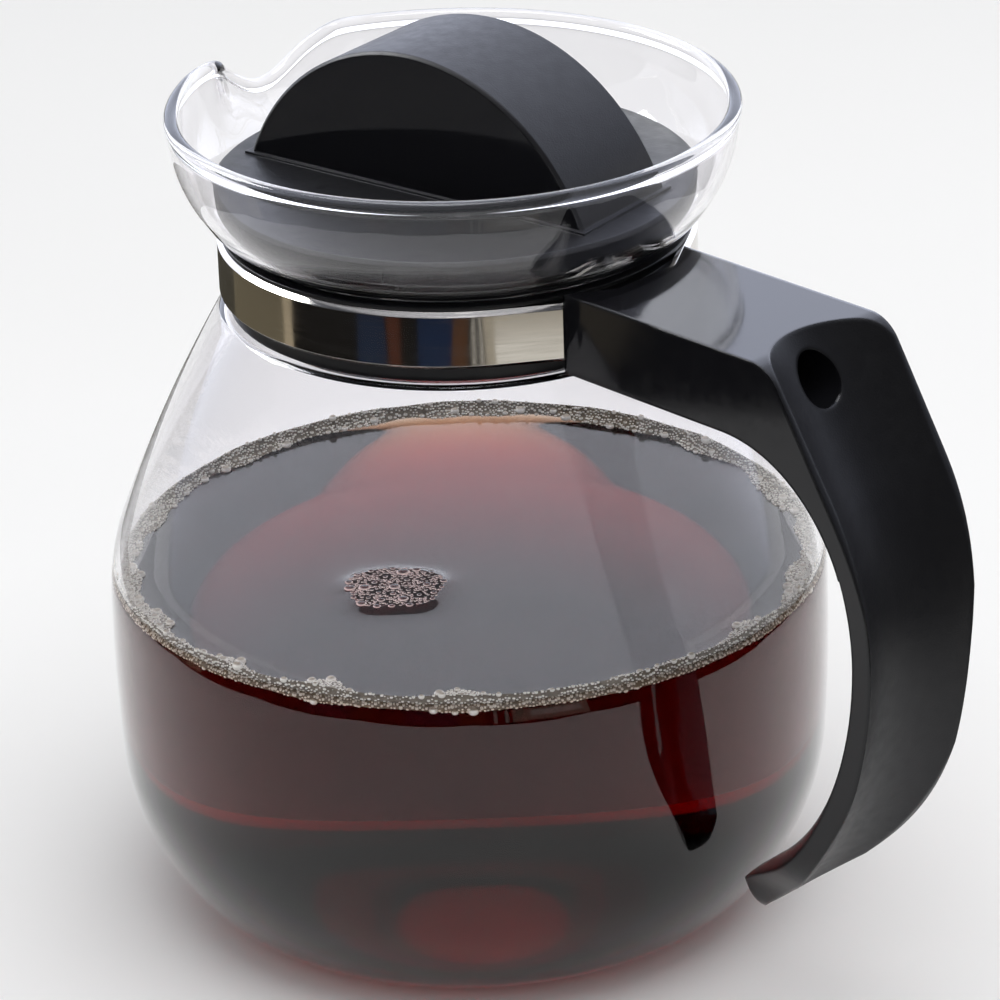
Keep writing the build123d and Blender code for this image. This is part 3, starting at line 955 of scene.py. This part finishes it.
# Colour of the painted dark reflection of the studio's front and floor
DARK_REFLECTION_COLOUR = "1A1918"
KEY_PLACE, KEY_SIZE, KEY_POWER = (0.15, -0.15, 1.3), (1.4, 1.1), 10.8
KEY_TARGET_HEIGHT = 0.08


def studio_place(side, depth, height):
    """A point given by how far right, behind and above the jug it lies, as the camera sees it."""
    return Matrix.Rotation(math.radians(CAMERA_TURN), 3, "Z") @ Vector((side, depth, height))


def reflected_only(item):
    """Leaves a stage object to reflections alone."""
    item.visible_camera = False
    item.visible_diffuse = False
    item.visible_transmission = False
    item.visible_shadow = False


def floor_sector(name, near, far, first, last, height_mm, material):
    """A glowing piece of floor, seen only in reflections, that paints a reflection in front of the jug,
    between two directions in degrees to the right.
    """
    corners = []
    there = range(FLOOR_SECTOR_STEPS + 1)
    for reach, order in ((near, there), (far, reversed(there))):
        for step in order:
            turn = math.radians(first + (last - first) * step / FLOOR_SECTOR_STEPS)
            corners.append(studio_place(reach * math.sin(turn), -reach * math.cos(turn), height_mm * MM))
    reflected_only(make_object(name, corners, [tuple(range(len(corners)))], [material]))


def panel(name, centre, size, normal, material):
    """A flat glowing panel, seen only in reflections, that faces along a normal."""
    width, height = size
    normal = Vector(normal).normalized()
    lies_flat = abs(normal.z) >= 0.99
    side = Vector((1, 0, 0)) if lies_flat else Vector((0, 0, 1)).cross(normal).normalized()
    rise = normal.cross(side)
    corners = [centre + side * (across * width / 2) + rise * (up * height / 2)
               for across, up in ((-1, -1), (1, -1), (1, 1), (-1, 1))]
    reflected_only(make_object(name, corners, [(0, 1, 2, 3)], [material]))


def lay_floor():
    """Paper just below the jug's foot, so that the two don't share a plane."""
    wide, low = FLOOR_HALF_WIDTH, -FLOOR_GAP
    corners = [(-wide, -wide, low), (wide, -wide, low), (wide, wide, low), (-wide, wide, low)]
    floor = make_object("floor", corners, [(0, 1, 2, 3)], [pale_paper()])


def hang_panels():
    """Panels seen only in reflections: two softboxes as painted highlights, and a dark front, a dark floor
    and coloured floor stripes as painted reflections.
    """
    # Painted reflections: a dark front panel, a dark floor and coloured floor stripes, all seen only in
    # reflections
    dark = glow("Painted dark reflection", DARK_REFLECTION_COLOUR, 1.0)
    # These two panels light nothing: they glow only in reflections, as painted highlights
    panel("overhead_highlight_panel", studio_place(*OVERHEAD_PLACE), OVERHEAD_SIZE, (0, 0, -1),
          glow("Overhead highlight panel", "F2F4FA", OVERHEAD_STRENGTH))
    left = studio_place(*LEFT_PLACE)
    panel("left_highlight_panel", left, LEFT_SIZE, -left, glow("Left highlight panel", "F6F7FA", LEFT_STRENGTH))
    panel("dark_reflection_front", studio_place(*FRONT_PLACE), FRONT_SIZE, studio_place(0, 1, 0), dark)
    floor_sector("dark_reflection_floor", DARK_NEAR, DARK_FAR, -DARK_HALF_TURN, DARK_HALF_TURN, DARK_HEIGHT_MM, dark)
    for index, (first, last, hex_colour) in enumerate((*STRIPES, INNER_STRIPE)):
        near, far = (STRIPE_NEAR, STRIPE_FAR) if index < len(STRIPES) else (INNER_NEAR, INNER_FAR)
        floor_sector("reflection_stripe_" + str(index), near, far, first, last,
                     STRIPE_HEIGHT_MM + STRIPE_STEP_MM * index,
                     glow("Painted reflection stripe " + str(index), hex_colour, 1.0))


def light_world(scene):
    """Plain light all round, a brighter far side in reflections, and white for the camera."""
    world = bpy.data.worlds.new("Studio")
    scene.world = world
    world.use_nodes = True
    tree = world.node_tree
    tree.nodes.clear()
    direction = add(tree, "ShaderNodeTexCoord").outputs["Generated"]
    toward = add(tree, "ShaderNodeVectorMath", {
        0: direction, 1: studio_place(*LIT_SIDE).normalized(),
    }, operation="DOT_PRODUCT")
    lit = add(tree, "ShaderNodeMapRange", {
        "Value": toward.outputs["Value"], "From Min": LIT_START, "From Max": LIT_END,
        "To Min": DIM_STRENGTH, "To Max": LIT_STRENGTH,
    }, interpolation_type="SMOOTHSTEP").outputs["Result"]
    through = add(tree, "ShaderNodeMath", {0: lit, 1: LEAST_THROUGH_GLASS}, operation="MAXIMUM").outputs[0]
    rays = add(tree, "ShaderNodeLightPath").outputs
    shown = add(tree, "ShaderNodeBackground", {"Color": linear("F5F5F6"), "Strength": PLAIN_STRENGTH})
    shown = shown.outputs[0]
    for ray, hex_colour, strength in (
        ("Is Glossy Ray", "E2E8FC", lit), ("Is Transmission Ray", "ECF0F8", through),
        ("Is Camera Ray", BACKDROP_COLOUR, 1.0),
    ):
        background = add(tree, "ShaderNodeBackground", {"Color": linear(hex_colour), "Strength": strength})
        shown = add(tree, "ShaderNodeMixShader", {
            0: rays[ray], 1: shown, 2: background.outputs[0],
        }).outputs[0]
    add(tree, "ShaderNodeOutputWorld", {"Surface": shown})


def hang_key(scene):
    """A large softbox overhead; the panels take its place in reflections."""
    lamp = bpy.data.lights.new("top_softbox", "AREA")
    lamp.shape = "RECTANGLE"
    lamp.size, lamp.size_y = KEY_SIZE
    lamp.energy = KEY_POWER
    key = bpy.data.objects.new("top_softbox", lamp)
    key.visible_glossy = False
    key.location = studio_place(*KEY_PLACE)
    aim = key.location - Vector((0, 0, KEY_TARGET_HEIGHT))
    key.rotation_euler = aim.to_track_quat("Z", "Y").to_euler()
    scene.collection.objects.link(key)


def set_camera(scene):
    """The camera at the photograph's angle."""
    yaw, pitch, roll = (math.radians(value) for value in (YAW, PITCH, ROLL))
    ahead = Vector((math.sin(yaw) * math.cos(pitch), math.cos(yaw) * math.cos(pitch), -math.sin(pitch)))
    level_right = Vector((math.cos(yaw), -math.sin(yaw), 0))
    level_up = level_right.cross(ahead)
    right = level_right * math.cos(roll) + level_up * math.sin(roll)
    up = -level_right * math.sin(roll) + level_up * math.cos(roll)
    lens = bpy.data.cameras.new("camera")
    lens.lens = LENS
    lens.sensor_width = SENSOR_WIDTH
    lens.clip_start = NEAR_CLIP
    lens.clip_end = FAR_CLIP
    camera = bpy.data.objects.new("camera", lens)
    scene.collection.objects.link(camera)
    axes = (studio_place(*right), studio_place(*up), -studio_place(*ahead))
    place = Matrix(axes).transposed().to_4x4()
    place.translation = studio_place(0.0, -settings().camera_distance, CAMERA_HEIGHT)
    camera.matrix_world = place
    scene.camera = camera


class JUG_OT_stage(bpy.types.Operator):
    """Builds the floor, backdrop, lights and camera"""
    bl_idname = "jug.build_stage"
    bl_label = "Build stage"

    def execute(self, context):
        scene = context.scene
        lay_floor()
        light_world(scene)
        hang_panels()
        hang_key(scene)
        set_camera(scene)
        scene.view_settings.view_transform = "Standard"
        return {"FINISHED"}


# Panel and registration

class JUG_PT_panel(bpy.types.Panel):
    bl_label = "Coffee jug"
    bl_idname = "JUG_PT_panel"
    bl_space_type = "VIEW_3D"
    bl_region_type = "UI"
    bl_category = "Jug"

    def draw(self, context):
        column = self.layout.column()
        for name in ("coffee_level", "coffee_colour", "foam_size", "moulding_colour", "camera_distance"):
            column.prop(context.scene.jug_settings, name)
        for operator in OPERATORS:
            column.operator(operator.bl_idname)


OPERATORS = (JUG_OT_glass, JUG_OT_coffee, JUG_OT_foam, JUG_OT_mouldings, JUG_OT_clamp, JUG_OT_stage)
CLASSES = (JugSettings, *OPERATORS, JUG_PT_panel)


def register():
    for item in CLASSES:
        bpy.utils.register_class(item)
    bpy.types.Scene.jug_settings = bpy.props.PointerProperty(type=JugSettings)


def unregister():
    del bpy.types.Scene.jug_settings
    for item in reversed(CLASSES):
        bpy.utils.unregister_class(item)


def main():
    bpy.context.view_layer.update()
    register()
    bpy.ops.jug.build_glass()
    bpy.ops.jug.build_coffee()
    bpy.ops.jug.build_foam()
    bpy.ops.jug.finish_mouldings()
    bpy.ops.jug.finish_clamp()
    bpy.ops.jug.build_stage()


if __name__ == "__main__":
    main()
